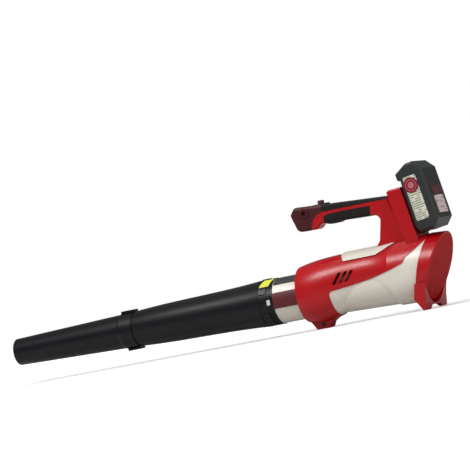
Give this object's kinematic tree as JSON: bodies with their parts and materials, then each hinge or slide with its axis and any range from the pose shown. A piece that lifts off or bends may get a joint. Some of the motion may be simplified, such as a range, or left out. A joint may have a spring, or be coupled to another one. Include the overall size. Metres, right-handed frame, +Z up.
{
  "type": "handheld cordless leaf blower",
  "caption": "Handheld cordless leaf blower: long tapered tube, slim axial fan body with slanted rear inlet, forward grip with trigger, slide-on battery pack.",
  "frame": {"origin": "middle of the footprint, on the ground under the blower as it stands on its front boss and rear feet", "axes": "+X rearward along the air duct, from the nozzle to the inlet; +Y to the left of someone facing +X; +Z up"},
  "size_m": [0.8118, 0.115, 0.2352],
  "materials": {
    "abs_red": "satin moulded ABS",
    "abs_red_dark": "fine moulded mesh",
    "pp_tube": "satin moulded polypropylene",
    "abs_beige": "satin moulded ABS",
    "tpe_black": "soft overmould",
    "pa_charcoal": "textured glass-filled nylon",
    "label_white": "printed film",
    "label_yellow": "printed film",
    "label_pink": "printed film",
    "steel": "machined",
    "steel_black": "black oxide",
    "brass": "plain",
    "alu": "die cast",
    "pa_fan": "glass-filled nylon",
    "fr4": "circuit board",
    "cell_wrap": "shrink wrap"
  },
  "bodies": {
    "body": {"air_duct": "abs_beige", "battery_rail": "pa_charcoal", "bearing_front": "steel", "bearing_rear": "steel", "control_board": "fr4", "grip_cap": "tpe_black", "grip_lower": "tpe_black", "grip_top": "tpe_black", "housing_left": "abs_red", "housing_right": "abs_red", "housing_screws": "steel_black", "inlet_guard": "abs_red_dark", "inlet_ring": "abs_red", "lower_cover": "abs_beige", "motor_mount": "pa_fan", "motor_stator": "steel_black", "neck_band": "abs_red_dark", "neck_patch": "tpe_black", "speed_base": "pa_charcoal", "tail_cone": "pa_fan", "terminal_block": "pa_charcoal", "terminals": "brass", "top_panel": "abs_beige", "trigger_pin": "steel", "trigger_spring": "steel", "trigger_switch": "pa_charcoal"},
    "tube": {"tube_rear": "pp_tube"},
    "nozzle": {"tube_front": "pp_tube"},
    "twist_ring": {"lock_ring": "pp_tube", "ring_label": "label_yellow"},
    "fan_assembly": {"motor_rotor": "steel", "fan": "pa_fan", "fan_nut": "steel"},
    "trigger": {"trigger": "pa_charcoal"},
    "speed_slider": {"speed_slider": "abs_red_dark"},
    "battery": {"battery_case_front": "pa_charcoal", "battery_case_rear": "pa_charcoal", "battery_cells": "cell_wrap", "cell_holder": "pa_fan", "battery_latch_spring": "steel", "battery_label_left": "label_white", "battery_label_right": "label_white", "battery_label_rear": "label_pink"},
    "latch": {"battery_latch": "abs_red"}
  },
  "joints": [
    {"name": "tube_slide", "type": "slide", "parent": "body", "child": "tube", "axis": [-1, 0, 0], "range_m": [0, 0.06]},
    {"name": "lock_twist", "type": "hinge", "parent": "body", "child": "twist_ring", "pos_m": [0.087, 0, 0.058], "axis": [1, 0, 0], "range_deg": [0, 25]},
    {"name": "nozzle_slide", "type": "slide", "parent": "tube", "child": "nozzle", "axis": [-1, 0, 0], "range_m": [0, 0.04]},
    {"name": "fan_spin", "type": "hinge", "parent": "body", "child": "fan_assembly", "pos_m": [0.304, 0, 0.058], "axis": [1, 0, 0], "continuous": true},
    {"name": "trigger_pull", "type": "hinge", "parent": "body", "child": "trigger", "pos_m": [0.209, 0, 0.1785], "axis": [0, -1, 0], "range_deg": [0, 8], "stiffness_Nm_per_rad": 0.2, "springref_deg": -20.05, "deforming": ["trigger_spring"]},
    {"name": "speed_slide", "type": "slide", "parent": "body", "child": "speed_slider", "axis": [1, 0, 0], "range_m": [-0.005, 0.005]},
    {"name": "battery_slide", "type": "slide", "parent": "body", "child": "battery", "axis": [-0.1426, 0, 0.9898], "range_m": [0, 0.075]},
    {"name": "latch_press", "type": "slide", "parent": "battery", "child": "latch", "axis": [0.9898, 0, 0.1426], "range_m": [0, 0.003], "stiffness_N_per_m": 400, "springref_m": -0.005, "deforming": ["battery_latch_spring"]}
  ]
}
